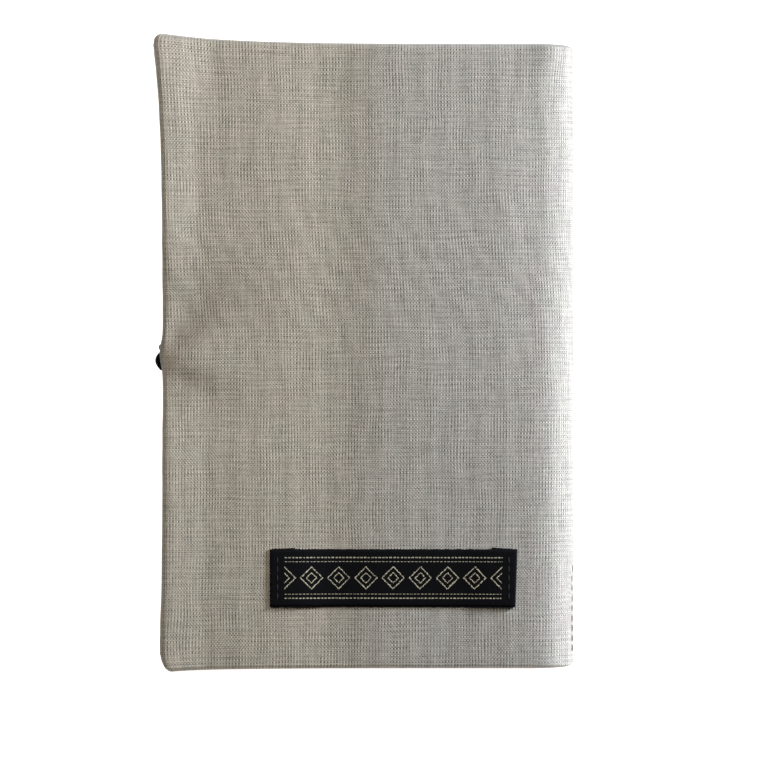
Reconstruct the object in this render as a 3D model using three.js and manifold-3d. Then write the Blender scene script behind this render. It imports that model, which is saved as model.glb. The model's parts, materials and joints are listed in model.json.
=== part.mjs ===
// A sewn needle book, closed and lying on its front cover: padded cloth covers, a round padded
// spine, two folded felt sheets bound into it, a button and an elastic loop that holds it shut.
// Millimetres, +Z up. The spine is towards +X, the head towards +Y and the back cover on top.
import * as THREE from 'three';
import { mergeVertices } from 'three/addons/utils/BufferGeometryUtils.js';
import Module from 'manifold-3d';

const wasm = await Module();
wasm.setup();

// Covers
const coverWidth = 102.8; // fore-edge to the outside of the spine
const coverHeight = 156.2; // tail to head
const outerCloth = 0.5; // linen behind, cotton in front
const fleeceThickness = 3.7;
const liningCloth = 0.35;
const fleeceTrim = 0.6; // fleece is cut back from the edge seam
const edgeRoundWidth = 1.6; // how far in from the edge the rounding starts
const seamDepth = 2.9; // edge seam below the outer face
const headFlareOut = 2.4; // the head corner of the fore-edge is pulled out and up
const headFlareUp = 2.4;
const tailFlareOut = 0.9;
const tailFlareDown = 0.6;
const flareReach = 15; // distance over which a flare dies away
const headCornerRound = 1.2;
const tailCornerRound = 4.5;

// Clearances
const layerGap = 0.2; // between sewn layers
const creaseGap = 0.3; // between the cloth of two bodies at a fold or a seam
const threadGap = 0.15; // under a row of stitches

// Felt leaves and pockets
const feltThickness = 1.1;
const leafWidth = 84;
const leafHeight = 138;
const gutterGap = 1; // between the two middle leaves
const leafGap = 0.45;
const pocketClearance = 0.3; // outer leaf to pocket hem
const pocketCloth = 0.5;
const pocketMargin = 5.5; // pocket to the edges of the cover
const pocketHeight = 72;
const pocketCornerRound = 3;
const hemCloth = 0.4;
const hemWidth = 9;

// Woven label on the back cover
const labelWidth = 61;
const labelHeight = 14.4;
const labelCloth = 0.35;
const labelFold = 6; // length of the ends that are turned under
const labelRamp = 2.5; // where the face drops from the folded end to the cover
const labelFromSpine = 14.6;
const labelFromTail = 15.4;
const labelStitchInset = 1.6;

// Stitching
const stitchPitch = 2.5;
const threadWidth = 0.5;
const threadProud = 0.35;
const bindingRise = 1.6; // binding stitches above the middle of the spine
const bindingMargin = 3; // ends of the row in the gutter to the ends of the felt
const bindingEnd = 4.5; // ends of the row outside to the ends of the spine

// Button and elastic loop
const buttonRadius = 7.5;
const buttonThickness = 1.5;
const buttonDish = 0.6;
const buttonDishRadius = 4.4;
const buttonFromEdge = 15;
const buttonHoleRadius = 0.65;
const buttonHoleOffset = 1.1;
const buttonThread = 0.9; // thickness of the sewn strands
const shankRadius = 2;
const cordDiameter = 1.4;
const cordClearance = 0.2;
const tuftReach = 22; // radius of the hollow that the sewn button draws into the cover
const loopEnds = [2.3, -0.4]; // where the two ends leave the seam, from the middle of the fore-edge
const loopDrops = [2.1, -2.6]; // where the two legs pass the fore-edge
const loopTucks = [0.75, 0]; // how far each leg is pulled in under the edge
const cordTail = 7; // cord caught inside the seam

// Derived sizes
const panelThickness = outerCloth + fleeceThickness + liningCloth + 2 * layerGap;
const leafInner = gutterGap / 2 + feltThickness / 2;
const leafOuter = leafInner + feltThickness + leafGap;
const pocketFace = leafOuter + feltThickness / 2 + pocketClearance + hemCloth + layerGap;
const innerHalf = pocketFace + pocketCloth + layerGap;
const spineRadius = innerHalf + panelThickness;
const spineX = -spineRadius; // axis of the round spine
const foreEdge = spineX - (coverWidth - spineRadius); // fore-edge, from the outside of the spine
const flatWidth = coverWidth - spineRadius;
const halfHeight = coverHeight / 2;
const creaseTurn = Math.PI / 4; // the folds lie half-way round the corners of the spine
const cordRadius = cordDiameter / 2;
const tuftDepth = buttonThickness + cordDiameter + 3 * cordClearance;
const buttonX = foreEdge + buttonFromEdge;
const backTop = spineRadius; // heights are measured from the middle of the book here

const linen = { color: 0xa69f93, roughness: 0.92, metalness: 0 };
const print = { color: 0xc8662a, roughness: 0.9, metalness: 0 };
const padding = { color: 0xe9e6df, roughness: 1, metalness: 0 };
const lining = { color: 0xd9d2c4, roughness: 0.95, metalness: 0 };
const felt = { color: 0xd8cfbf, roughness: 1, metalness: 0 };
const labelBlack = { color: 0x14151a, roughness: 0.6, metalness: 0 };
const darkThread = { color: 0x3a3a3c, roughness: 0.8, metalness: 0 };
const elastic = { color: 0x0c0c0e, roughness: 0.7, metalness: 0 };
const wood = { color: 0x6b4427, roughness: 0.5, metalness: 0 };

const book = new THREE.Group();

function addPiece(name, geometry, look) {
  const mesh = new THREE.Mesh(geometry, new THREE.MeshStandardMaterial(look));
  mesh.name = name;
  book.add(mesh);
  return mesh;
}

// Joins and cuts of closed meshes
function toSolid(geometry) {
  const bare = geometry.clone();
  bare.deleteAttribute('normal');
  bare.deleteAttribute('uv');
  const merged = mergeVertices(bare);
  return new wasm.Manifold(new wasm.Mesh({
    numProp: 3,
    vertProperties: new Float32Array(merged.attributes.position.array),
    triVerts: new Uint32Array(merged.index.array),
  }));
}

function toGeometry(solid) {
  const mesh = solid.getMesh();
  const geometry = new THREE.BufferGeometry();
  geometry.setAttribute('position', new THREE.BufferAttribute(mesh.vertProperties, mesh.numProp));
  geometry.setIndex(new THREE.BufferAttribute(mesh.triVerts, 1));
  return geometry;
}

function cut(geometry, tools) {
  return toGeometry(tools.reduce((solid, tool) => solid.subtract(toSolid(tool)), toSolid(geometry)));
}

function join(geometries) {
  const [first, ...rest] = geometries.map(toSolid);
  return toGeometry(rest.reduce((solid, other) => solid.add(other), first));
}

// A closed cloth layer between two grids of points, joined all round their borders
function closedLayer(outer, inner) {
  const rows = outer.length;
  const columns = outer[0].length;
  const at = (face, row, column) => (face * rows + row) * columns + column;
  const points = [...outer.flat(), ...inner.flat()];
  const quads = [];
  for (let row = 0; row < rows - 1; row++) {
    for (let column = 0; column < columns - 1; column++) {
      quads.push([at(0, row, column), at(0, row + 1, column), at(0, row + 1, column + 1), at(0, row, column + 1)]);
      quads.push([at(1, row, column), at(1, row, column + 1), at(1, row + 1, column + 1), at(1, row + 1, column)]);
    }
  }
  const border = [];
  for (let row = 0; row < rows - 1; row++) border.push([row, 0]);
  for (let column = 0; column < columns - 1; column++) border.push([rows - 1, column]);
  for (let row = rows - 1; row > 0; row--) border.push([row, columns - 1]);
  for (let column = columns - 1; column > 0; column--) border.push([0, column]);
  border.forEach(([row, column], step) => {
    const [nextRow, nextColumn] = border[(step + 1) % border.length];
    quads.push([at(0, row, column), at(1, row, column), at(1, nextRow, nextColumn), at(0, nextRow, nextColumn)]);
  });
  const triangles = quads.flatMap(([a, b, c, d]) => [[a, b, c], [a, c, d]]);
  const volume = triangles.reduce(
    (sum, [a, b, c]) => sum + points[a].dot(new THREE.Vector3().crossVectors(points[b], points[c])), 0);
  const facing = volume > 0 ? triangles : triangles.map(([a, b, c]) => [a, c, b]);
  const geometry = new THREE.BufferGeometry();
  geometry.setAttribute('position', new THREE.Float32BufferAttribute(points.flatMap((p) => p.toArray()), 3));
  geometry.setIndex(facing.flat());
  return geometry;
}

// Section of a cover. The run goes from the fore-edge (negative) to the start of the round spine
// at 0 and on round it, and the depth goes in from the outer face. Side is 1 behind, -1 in front.
function wrap(side, run, y, depth) {
  const radius = spineRadius - depth;
  const turn = Math.max(run, 0) / spineRadius;
  const x = spineX + Math.min(run, 0) + radius * Math.sin(turn);
  return new THREE.Vector3(x, y, side * radius * Math.cos(turn));
}

// Rounded edge, from the seam at the rim (step 0) to the flat face. The outer face rolls down to
// the seam and the lining rolls up to it. An offset goes in from either face, and a trim goes in
// from the seam.
const edgeSteps = 3;
const edgeAngles = Array.from({ length: edgeSteps + 1 }, (_, step) => (step / edgeSteps) * Math.PI / 2);

function outerFace(offset, trim = 0) {
  return edgeAngles.map((angle) => ({
    inset: edgeRoundWidth * (1 - Math.cos(angle)) + (offset + trim) * Math.cos(angle),
    depth: (seamDepth + trim / 2) * (1 - Math.sin(angle)) + offset * Math.sin(angle),
    drawn: Math.sin(angle),
  }));
}

function innerFace(offset, trim = 0) {
  const roll = panelThickness - seamDepth - layerGap - trim;
  return edgeAngles.map((angle) => ({
    inset: edgeRoundWidth * (1 - Math.cos(angle)) + (offset + trim) * Math.cos(angle),
    depth: panelThickness - roll * (1 - Math.sin(angle)) - offset * Math.sin(angle),
    drawn: 0,
  }));
}

// How far a cover's edges stand out of the plain rectangle: flared and rounded corners
const fade = (distance) => Math.exp(-distance / flareReach);

function cornerInset(y) {
  const fromTail = Math.max(y + halfHeight, 0);
  const fromHead = Math.max(halfHeight - y, 0);
  const round = (radius, d) => (d < radius ? radius - Math.sqrt(radius ** 2 - (radius - d) ** 2) : 0);
  return round(tailCornerRound, fromTail) + round(headCornerRound, fromHead);
}

function foreEdgeRun(y) {
  const flare = headFlareOut * fade(halfHeight - y) + tailFlareOut * fade(y + halfHeight);
  return -flatWidth - flare + cornerInset(y);
}

function headY(run) {
  return halfHeight + headFlareUp * fade(run + flatWidth);
}

function tailY(run) {
  return -halfHeight - tailFlareDown * fade(run + flatWidth);
}

// Rows of points up the height of the book: both edges are rounded, and the middle is plain
function heightStations(face, middles) {
  const edge = face.map(({ inset }, step) => ({ inset, step }));
  return [
    ...edge.map((station) => ({ ...station, end: -1 })),
    ...middles.map((y) => ({ y, step: edgeSteps, end: 0 })),
    ...edge.reverse().map((station) => ({ ...station, end: 1 })),
  ];
}

function stationY({ end, inset, y }, run) {
  if (end < 0) return tailY(run) + inset;
  return end > 0 ? headY(run) - inset : y;
}

// One face of a cover, from the rounded fore-edge to the fold at the spine
function coverFace(side, face, runs, middles, hollow) {
  const foldRun = spineRadius * creaseTurn - creaseGap / 2;
  const foldRuns = [0, 0.25, 0.5, 0.75, 1].map((part) => part * foldRun);
  const columns = [
    ...face.map(({ inset }, step) => ({ inset, step })),
    ...[...runs, ...foldRuns].map((run) => ({ run, step: edgeSteps })),
  ];
  return columns.map((column) => heightStations(face, middles).map((station) => {
    const level = stationY(station, -flatWidth);
    const run = column.run ?? foreEdgeRun(level) + column.inset;
    const y = stationY(station, run);
    const { depth, drawn } = face[Math.min(column.step, station.step)];
    return wrap(side, run, y, depth + drawn * hollow(run + spineX, y));
  }));
}

// One face of the spine, between two turns round its axis
function spineFace(face, fromTurn, toTurn) {
  const steps = 4;
  const turns = Array.from({ length: steps + 1 }, (_, step) => fromTurn + (step / steps) * (toTurn - fromTurn));
  return turns.map((turn) => heightStations(face, [-halfHeight / 2, 0, halfHeight / 2]).map((station) => {
    const run = spineRadius * turn;
    return wrap(1, run, stationY(station, run), face[station.step].depth);
  }));
}

const noHollow = () => 0;
const plainRuns = [0.9, 0.6, 0.3].map((part) => -part * flatWidth);
const plainMiddles = [-halfHeight + tailCornerRound, -halfHeight / 2, 0, halfHeight / 2];

// The button is sewn through the front cover, which draws a soft hollow into the padding
function buttonHollow(x, y) {
  const reach = Math.hypot(x - buttonX, y) / tuftReach;
  return reach < 1 ? tuftDepth * (1 - reach ** 4) ** 2 : 0;
}

const tuftSteps = [0.2, 0.4, 0.6, 0.8, 1].map((part) => part * tuftReach);
const tuftRuns = [
  ...[0.75, 0.5, 0.25].map((part) => -part * (buttonFromEdge - edgeRoundWidth)), 0, ...tuftSteps,
].map((offset) => buttonX - spineX + offset);
const tuftedRuns = [...tuftRuns, -0.3 * flatWidth];
const tuftedMiddles = [
  -halfHeight + tailCornerRound, -halfHeight / 2, ...tuftSteps.map((step) => -step).reverse(), 0, ...tuftSteps,
  halfHeight / 2,
];

function alongX(radius, fromX, toX, y, z) {
  const rod = new THREE.CylinderGeometry(radius, radius, toX - fromX, 12);
  return rod.rotateZ(Math.PI / 2).translate((fromX + toX) / 2, y, z);
}

function alongZ(radius, x, y, fromZ, toZ, sides) {
  const rod = new THREE.CylinderGeometry(radius, radius, toZ - fromZ, sides);
  return rod.rotateX(Math.PI / 2).translate(x, y, (fromZ + toZ) / 2);
}

// Back cover: linen outside, fleece, and lining inside. The loop's two ends are caught in the seam.
const seamZ = backTop - seamDepth - layerGap / 2;
const cordOut = foreEdge - cordRadius - cordClearance;
const channelRadius = cordRadius + cordClearance;
const cordChannels = loopEnds.flatMap((y, leg) => [
  alongX(channelRadius, foreEdge - cordDiameter, foreEdge + cordTail + cordClearance, y, seamZ),
  alongZ(channelRadius, cordOut + loopTucks[leg], y, backTop - panelThickness - 1, seamZ, 12),
]);

const fleeceFaces = [
  outerFace(outerCloth + layerGap, fleeceTrim), innerFace(liningCloth + layerGap, fleeceTrim),
];

function backLayer(outer, inner) {
  const faces = [outer, inner].map((face) => coverFace(1, face, plainRuns, plainMiddles, noHollow));
  return cut(closedLayer(...faces), cordChannels);
}

addPiece('back_linen', backLayer(outerFace(0), outerFace(outerCloth)), linen);
addPiece('back_fleece', backLayer(...fleeceFaces), padding);
addPiece('back_lining', backLayer(innerFace(liningCloth), innerFace(0)), lining);

// Front cover: printed cotton outside, drawn in round the button, with a hole for the thread
const shankHole = alongZ(shankRadius + cordClearance, buttonX, 0, -backTop, -innerHalf - liningCloth, 16);

function frontLayer(outer, inner, hollows) {
  const [outerHollow, innerHollow] = hollows;
  return closedLayer(
    coverFace(-1, outer, tuftedRuns, tuftedMiddles, outerHollow),
    coverFace(-1, inner, tuftedRuns, tuftedMiddles, innerHollow));
}

addPiece('front_cotton', cut(
  frontLayer(outerFace(0), outerFace(outerCloth), [buttonHollow, buttonHollow]), [shankHole]), print);
addPiece('front_fleece', cut(frontLayer(...fleeceFaces, [buttonHollow, noHollow]), [shankHole]), padding);
addPiece('front_lining', closedLayer(
  coverFace(-1, innerFace(liningCloth), plainRuns, plainMiddles, noHollow),
  coverFace(-1, innerFace(0), plainRuns, plainMiddles, noHollow)), lining);

// Spine: the linen and the cotton meet in a seam along its middle, over one strip of fleece
const creaseAngle = creaseGap / 2 / spineRadius;
const seamTurn = Math.PI / 2;
const upperFold = creaseTurn + creaseAngle;
const lowerFold = Math.PI - upperFold;

function spineLayer(outer, inner, fromTurn, toTurn) {
  return closedLayer(spineFace(outer, fromTurn, toTurn), spineFace(inner, fromTurn, toTurn));
}

addPiece('spine_linen', spineLayer(outerFace(0), outerFace(outerCloth), upperFold, seamTurn - creaseAngle), linen);
addPiece('spine_cotton', spineLayer(outerFace(0), outerFace(outerCloth), seamTurn + creaseAngle, lowerFold), print);
addPiece('spine_fleece', spineLayer(...fleeceFaces, upperFold, lowerFold), padding);
addPiece('spine_lining', spineLayer(innerFace(liningCloth), innerFace(0), upperFold, lowerFold), lining);

// A shape drawn across the book, X to the right and Z up, and drawn out along its height
function alongHeight(shape, length, y = 0) {
  const options = { depth: length, bevelEnabled: false, curveSegments: 8 };
  return new THREE.ExtrudeGeometry(shape, options).rotateX(Math.PI / 2).translate(0, y + length / 2, 0);
}

// Two felt sheets, one inside the other, folded in the middle. The folds are sewn to the spine,
// and the four leaves turn where the folds end.
const foldX = spineX + innerHalf - layerGap - leafOuter - feltThickness / 2;
const leafHingeX = foldX - creaseGap - feltThickness / 2;

function feltFold(middle) {
  const shape = new THREE.Shape();
  shape.absarc(foldX, 0, middle + feltThickness / 2, -Math.PI / 2, Math.PI / 2, false);
  shape.absarc(foldX, 0, middle - feltThickness / 2, Math.PI / 2, -Math.PI / 2, true);
  return alongHeight(shape, leafHeight);
}

function feltLeaf(z) {
  const half = feltThickness / 2;
  const shape = new THREE.Shape();
  shape.moveTo(leafHingeX - leafWidth, z - half);
  shape.lineTo(leafHingeX, z - half);
  shape.absarc(leafHingeX, z, half, -Math.PI / 2, Math.PI / 2, false);
  shape.lineTo(leafHingeX - leafWidth, z + half);
  return alongHeight(shape, leafHeight);
}

addPiece('felt_fold_outer', feltFold(leafOuter), felt);
addPiece('felt_fold_inner', feltFold(leafInner), felt);
[leafOuter, leafInner, -leafInner, -leafOuter].forEach((z, leaf) => {
  addPiece(`felt_leaf_${leaf + 1}`, feltLeaf(z), felt);
});

// A slip pocket on each lining, its mouth towards the head, with a turned hem along the mouth
const pocketLeft = foreEdge + pocketMargin;
const pocketRight = spineX - pocketMargin;
const pocketTail = -halfHeight + pocketMargin;

function roundedPanel(left, right, bottom, top, lowZ, highZ) {
  const r = pocketCornerRound;
  const shape = new THREE.Shape();
  shape.moveTo(left, top);
  shape.absarc(left + r, bottom + r, r, Math.PI, Math.PI * 1.5, false);
  shape.absarc(right - r, bottom + r, r, Math.PI * 1.5, Math.PI * 2, false);
  shape.lineTo(right, top);
  const options = { depth: highZ - lowZ, bevelEnabled: false, curveSegments: 3 };
  return new THREE.ExtrudeGeometry(shape, options).translate(0, 0, lowZ);
}

function hemStrip(top, lowZ, highZ) {
  const strip = new THREE.BoxGeometry(pocketRight - pocketLeft, hemWidth, highZ - lowZ);
  return strip.translate((pocketLeft + pocketRight) / 2, top - hemWidth / 2, (lowZ + highZ) / 2);
}

const pocketHead = pocketTail + pocketHeight;
const hemFace = pocketFace - layerGap;
[['back', 1], ['front', -1]].forEach(([cover, side]) => {
  const pocketZ = [side * pocketFace, side * (pocketFace + pocketCloth)].sort((a, b) => a - b);
  const hemZ = [side * hemFace, side * (hemFace - hemCloth)].sort((a, b) => a - b);
  addPiece(`${cover}_pocket`, roundedPanel(pocketLeft, pocketRight, pocketTail, pocketHead, ...pocketZ), lining);
  addPiece(`${cover}_pocket_hem`, hemStrip(pocketHead, ...hemZ), lining);
});

// A row of stitches as one thread, humped at each stitch: along Y from 0, humps towards +Z
function stitchRow(length) {
  const count = Math.round(length / stitchPitch);
  const pitch = length / count;
  const shape = new THREE.Shape();
  shape.moveTo(0, 0);
  shape.lineTo(length, 0);
  for (let stitch = count; stitch > 0; stitch--) {
    shape.lineTo((stitch - 0.25) * pitch, threadProud);
    shape.lineTo((stitch - 0.75) * pitch, threadProud);
    shape.lineTo((stitch - 1) * pitch, stitch > 1 ? threadProud / 2 : 0);
  }
  const row = new THREE.ExtrudeGeometry(shape, { depth: threadWidth, bevelEnabled: false });
  return row.translate(-length / 2, 0, -threadWidth / 2).rotateX(Math.PI / 2).rotateZ(Math.PI / 2);
}

// Binding stitches through the folds and the spine, seen outside it and in the gutter
const bindingOutX = spineX + Math.sqrt(spineRadius ** 2 - (bindingRise - threadWidth / 2) ** 2) + threadGap;
const outsideRow = stitchRow(coverHeight - 2 * bindingEnd).rotateY(Math.PI / 2);
addPiece('binding_stitches_outside', outsideRow.translate(bindingOutX, 0, bindingRise), darkThread);
const gutterRow = stitchRow(leafHeight - 2 * bindingMargin).rotateY(-Math.PI / 2);
addPiece('binding_stitches_gutter', gutterRow.translate(foldX + threadGap, 0, 0), darkThread);

// Woven label: a ribbon with both ends turned under, sewn down across its ends
const labelRight = -labelFromSpine;
const labelLeft = labelRight - labelWidth;
const labelY = -halfHeight + labelFromTail + labelHeight / 2;
const labelBase = backTop + threadGap;
const labelLift = labelCloth + threadGap; // the face over a turned end

function labelProfile() {
  const shape = new THREE.Shape();
  const z = labelBase;
  const top = z + labelLift;
  shape.moveTo(labelLeft, z);
  shape.lineTo(labelLeft + labelFold, z);
  shape.lineTo(labelLeft + labelFold, z + labelCloth);
  shape.lineTo(labelLeft + labelCloth, z + labelCloth);
  shape.lineTo(labelLeft + labelCloth, top);
  shape.lineTo(labelLeft + labelFold + labelCloth, top);
  shape.lineTo(labelLeft + labelFold + labelRamp, z);
  shape.lineTo(labelRight - labelFold - labelRamp, z);
  shape.lineTo(labelRight - labelFold - labelCloth, top);
  shape.lineTo(labelRight - labelCloth, top);
  shape.lineTo(labelRight - labelCloth, z + labelCloth);
  shape.lineTo(labelRight - labelFold, z + labelCloth);
  shape.lineTo(labelRight - labelFold, z);
  shape.lineTo(labelRight, z);
  shape.lineTo(labelRight, top + labelCloth);
  shape.lineTo(labelRight - labelFold - labelCloth, top + labelCloth);
  shape.lineTo(labelRight - labelFold - labelRamp, z + labelCloth);
  shape.lineTo(labelLeft + labelFold + labelRamp, z + labelCloth);
  shape.lineTo(labelLeft + labelFold + labelCloth, top + labelCloth);
  shape.lineTo(labelLeft, top + labelCloth);
  return shape;
}

addPiece('woven_label', alongHeight(labelProfile(), labelHeight, labelY), labelBlack);
const labelStitchZ = labelBase + labelLift + labelCloth + threadGap;
const labelStitchLength = labelHeight - 2 * labelStitchInset;
[['left', labelLeft + labelStitchInset], ['right', labelRight - labelStitchInset]].forEach(([end, x]) => {
  addPiece(`label_stitches_${end}`, stitchRow(labelStitchLength).translate(x, labelY, labelStitchZ), labelBlack);
});

// Four-hole button in its hollow, flush with the front face, with a dished middle
const buttonFace = -backTop;
const rimRound = 0.4;
const buttonProfile = [
  [0, buttonDish], [buttonDishRadius - buttonDish, buttonDish], [buttonDishRadius, 0],
  [buttonRadius - rimRound, 0], [buttonRadius, rimRound], [buttonRadius, buttonThickness - rimRound],
  [buttonRadius - rimRound, buttonThickness], [0, buttonThickness],
].map(([radius, z]) => new THREE.Vector2(radius, z));
const buttonBlank = new THREE.LatheGeometry(buttonProfile, 32)
  .rotateX(Math.PI / 2).translate(buttonX, 0, buttonFace);
const holeSides = [1, -1];
const holePlaces = holeSides.flatMap((sx) => holeSides.map((sy) => [
  buttonX + sx * buttonHoleOffset, sy * buttonHoleOffset]));
const buttonHoles = holePlaces.map(([x, y]) => alongZ(
  buttonHoleRadius, x, y, buttonFace - 1, buttonFace + buttonThickness + 1, 12));
addPiece('button', cut(buttonBlank, buttonHoles), wood);

// The thread goes through the holes, is wound into a shank behind the button and ends at the lining
const strand = buttonThread / 2;
const strandZ = buttonFace + buttonDish - cordClearance;
const shankFoot = buttonFace + buttonThickness + cordClearance;
const threadLegs = holePlaces.map(([x, y]) => alongZ(strand, x, y, strandZ - strand / 2, shankFoot + strand, 8));
const threadBars = holeSides.map((sy) => new THREE.BoxGeometry(
  2 * buttonHoleOffset + strand, buttonThread * 0.75, strand / 2)
  .translate(buttonX, sy * buttonHoleOffset, strandZ - strand / 4));
const shank = alongZ(shankRadius, buttonX, 0, shankFoot, -innerHalf - liningCloth - layerGap, 16);
addPiece('button_thread', join([shank, ...threadLegs, ...threadBars]), darkThread);

// Elastic loop: from the seam of the back cover down past the fore-edge, under the edge of the
// front cover and round the shank behind the button
const cordLevel = buttonFace + buttonThickness + cordClearance + cordRadius;
const edgeLevel = buttonFace + cordRadius + cordClearance;
const loopRadius = shankRadius + cordClearance + cordRadius;

function loopLeg(leg) {
  const end = loopEnds[leg];
  const drop = loopDrops[leg];
  const out = cordOut + loopTucks[leg];
  const side = Math.sign(drop);
  return [
    [foreEdge + cordTail, end, seamZ],
    [foreEdge + 3, end, seamZ],
    [out + 1.2, end, seamZ],
    [out + 0.2, end + 0.12 * (drop - end), seamZ - 0.5],
    [out - 0.05, end + 0.3 * (drop - end), seamZ - 1.5],
    [(out + cordOut) / 2 + 0.15, end + 0.7 * (drop - end), seamZ - 3.4],
    [cordOut + 0.4, drop, seamZ - 5.5],
    [cordOut + 0.15, drop, edgeLevel + 4.5],
    [cordOut, drop, edgeLevel + 1.9],
    [cordOut + 0.4, drop, edgeLevel + 0.6],
    [foreEdge + 0.9, drop, edgeLevel + 0.25],
    [foreEdge + 3.2, (drop + side * loopRadius) / 2, edgeLevel + 0.9],
    [foreEdge + 6.2, side * (loopRadius - 0.4), cordLevel],
    [buttonX - 3, side * (loopRadius - 0.2), cordLevel],
    [buttonX - 0.6, side * loopRadius, cordLevel],
    [buttonX + 0.72 * loopRadius, side * 0.72 * loopRadius, cordLevel],
  ];
}

const route = [...loopLeg(0), [buttonX + loopRadius, 0, cordLevel], ...loopLeg(1).reverse()]
  .map(([x, y, z]) => new THREE.Vector3(x, y, z));
const cordSection = new THREE.Shape();
cordSection.absarc(0, 0, cordRadius, 0, 2 * Math.PI, false);
addPiece('elastic_loop', new THREE.ExtrudeGeometry(cordSection, {
  steps: 72, curveSegments: 4, extrudePath: new THREE.CatmullRomCurve3(route), bevelEnabled: false,
}), elastic);

// The origin is under the middle of the closed book, on the surface that it lies on
const reach = new THREE.Box3().setFromObject(book);
const middle = reach.getCenter(new THREE.Vector3());
book.position.set(-middle.x, -middle.y, -reach.min.z);

export default book;
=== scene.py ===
import json
import math

import bmesh
import bpy
from mathutils import Matrix, Vector, noise


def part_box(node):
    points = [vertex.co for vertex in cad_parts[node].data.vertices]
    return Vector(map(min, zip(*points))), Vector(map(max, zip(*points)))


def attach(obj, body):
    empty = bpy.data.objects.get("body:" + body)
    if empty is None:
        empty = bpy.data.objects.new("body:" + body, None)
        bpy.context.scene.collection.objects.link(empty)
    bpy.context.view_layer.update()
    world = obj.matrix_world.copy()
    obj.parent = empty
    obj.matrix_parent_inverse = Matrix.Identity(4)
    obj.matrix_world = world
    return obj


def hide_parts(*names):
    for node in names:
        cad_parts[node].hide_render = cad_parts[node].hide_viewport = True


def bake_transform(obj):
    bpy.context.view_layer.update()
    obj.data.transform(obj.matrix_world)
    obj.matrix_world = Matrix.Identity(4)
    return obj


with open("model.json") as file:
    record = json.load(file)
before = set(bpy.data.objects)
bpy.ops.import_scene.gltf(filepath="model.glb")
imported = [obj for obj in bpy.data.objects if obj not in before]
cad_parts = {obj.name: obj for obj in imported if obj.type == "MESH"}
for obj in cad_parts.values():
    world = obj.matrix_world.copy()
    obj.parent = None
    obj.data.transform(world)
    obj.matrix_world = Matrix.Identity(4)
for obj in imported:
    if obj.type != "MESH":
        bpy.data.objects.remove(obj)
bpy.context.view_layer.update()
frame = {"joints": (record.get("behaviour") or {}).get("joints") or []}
scene = bpy.context.scene
scene.view_settings.view_transform = "Standard"
MM = 0.001

# View and light. The photograph looks straight down on the back cover, with the spine to the right.
# A cool light rakes across the cover from the spine side, and a weaker warm one fills from above,
# a little to the upper left.
cover_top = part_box("back_linen")[1].z
view_middle = Vector((4.65 * MM, -8.13 * MM, cover_top))
view_width = 192 * MM
camera_height = 1.2
camera = bpy.data.objects.new("camera", bpy.data.cameras.new("camera"))
camera.data.lens = camera.data.sensor_width * camera_height / view_width
camera.location = view_middle + Vector((0, 0, camera_height))
scene.collection.objects.link(camera)
scene.camera = camera


def soft_light(name, place, size, power, colour):
    """A square studio light that faces the book."""
    lamp = bpy.data.lights.new(name, "AREA")
    lamp.size, lamp.energy, lamp.color = size, power, colour
    light = bpy.data.objects.new(name, lamp)
    light.location = place
    towards_book = Vector((0, 0, cover_top)) - Vector(place)
    light.rotation_euler = towards_book.to_track_quat("-Z", "Y").to_euler()
    scene.collection.objects.link(light)


soft_light("light_spine_side", place=(0.62, 0.27, 0.222), size=0.18, power=11.6,
           colour=(0.86, 0.918, 0.985))
soft_light("light_upper_left", place=(-0.13, 0.24, 0.52), size=0.2, power=1.62,
           colour=(1.0, 0.925, 0.785))
scene.world = bpy.data.worlds.new("studio")
scene.world.use_nodes = True
glow = scene.world.node_tree.nodes["Background"].inputs
glow["Color"].default_value = (1, 1, 1, 1)
glow["Strength"].default_value = 0.06


# Floor: a white table top, just under the book. It is bright enough to swallow most of the shadow,
# as the white background of the photograph does.
def add_object(name, shape, smooth=False):
    """A finished shape as an object, with its place in its mesh."""
    for face in shape.faces:
        face.smooth = smooth
    mesh = bpy.data.meshes.new(name)
    shape.to_mesh(mesh)
    shape.free()
    piece = bpy.data.objects.new(name, mesh)
    scene.collection.objects.link(piece)
    return piece


table = bmesh.new()
table_top = Matrix.Translation((0, 0, -0.1 * MM))
bmesh.ops.create_circle(table, cap_ends=True, segments=64, radius=4, matrix=table_top)
floor = add_object("floor", table)
floor_white = bpy.data.materials.new("floor_white")
floor_white.use_nodes = True
floor_shader = floor_white.node_tree.nodes["Principled BSDF"]
floor_shader.inputs["Base Color"].default_value = (0.9, 0.84, 0.76, 1)
floor_shader.inputs["Roughness"].default_value = 0.9
floor_shader.inputs["Emission Color"].default_value = (1, 1, 1, 1)
floor_shader.inputs["Emission Strength"].default_value = 0.96
floor.data.materials.append(floor_white)

# Padding: needled polyester fleece, cut a little smaller than the covers and laid between the
# outer cloth and the lining. A separate strip pads the spine. None of it shows.
spine_radius = cover_top / 2
spine_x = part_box("spine_linen")[1].x - spine_radius
joint_at = {joint["name"]: joint["pos_m"] for joint in frame["joints"]}
book_y = joint_at["spine_fold"][1]
cover_width = 102.8 * MM
fore_run = spine_radius - cover_width
half_height = 78.25 * MM
panel = 4.95 * MM
outer_cloth = 0.5 * MM
fleece_depth = 0.7 * MM
lining_cloth = 0.35 * MM
seam_depth = 2.9 * MM
seam_gap = 0.2 * MM
edge_width = 1.2 * MM
edge_length = 3.4 * MM
seam_turn = math.pi / 2 * spine_radius
spine_swell = 0.4 * MM
button_x = fore_run + 15 * MM
tuft_reach = 22 * MM
tuft_depth = 3.5 * MM


def ease(value):
    """Goes smoothly from 0 to 1 as the value does."""
    value = min(max(value, 0), 1)
    return value * value * (3 - 2 * value)


def hill(distance, reach):
    """A soft bump, 1 at distance 0 and nearly gone at twice the reach."""
    return math.exp(-(distance / reach) ** 2)


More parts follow.
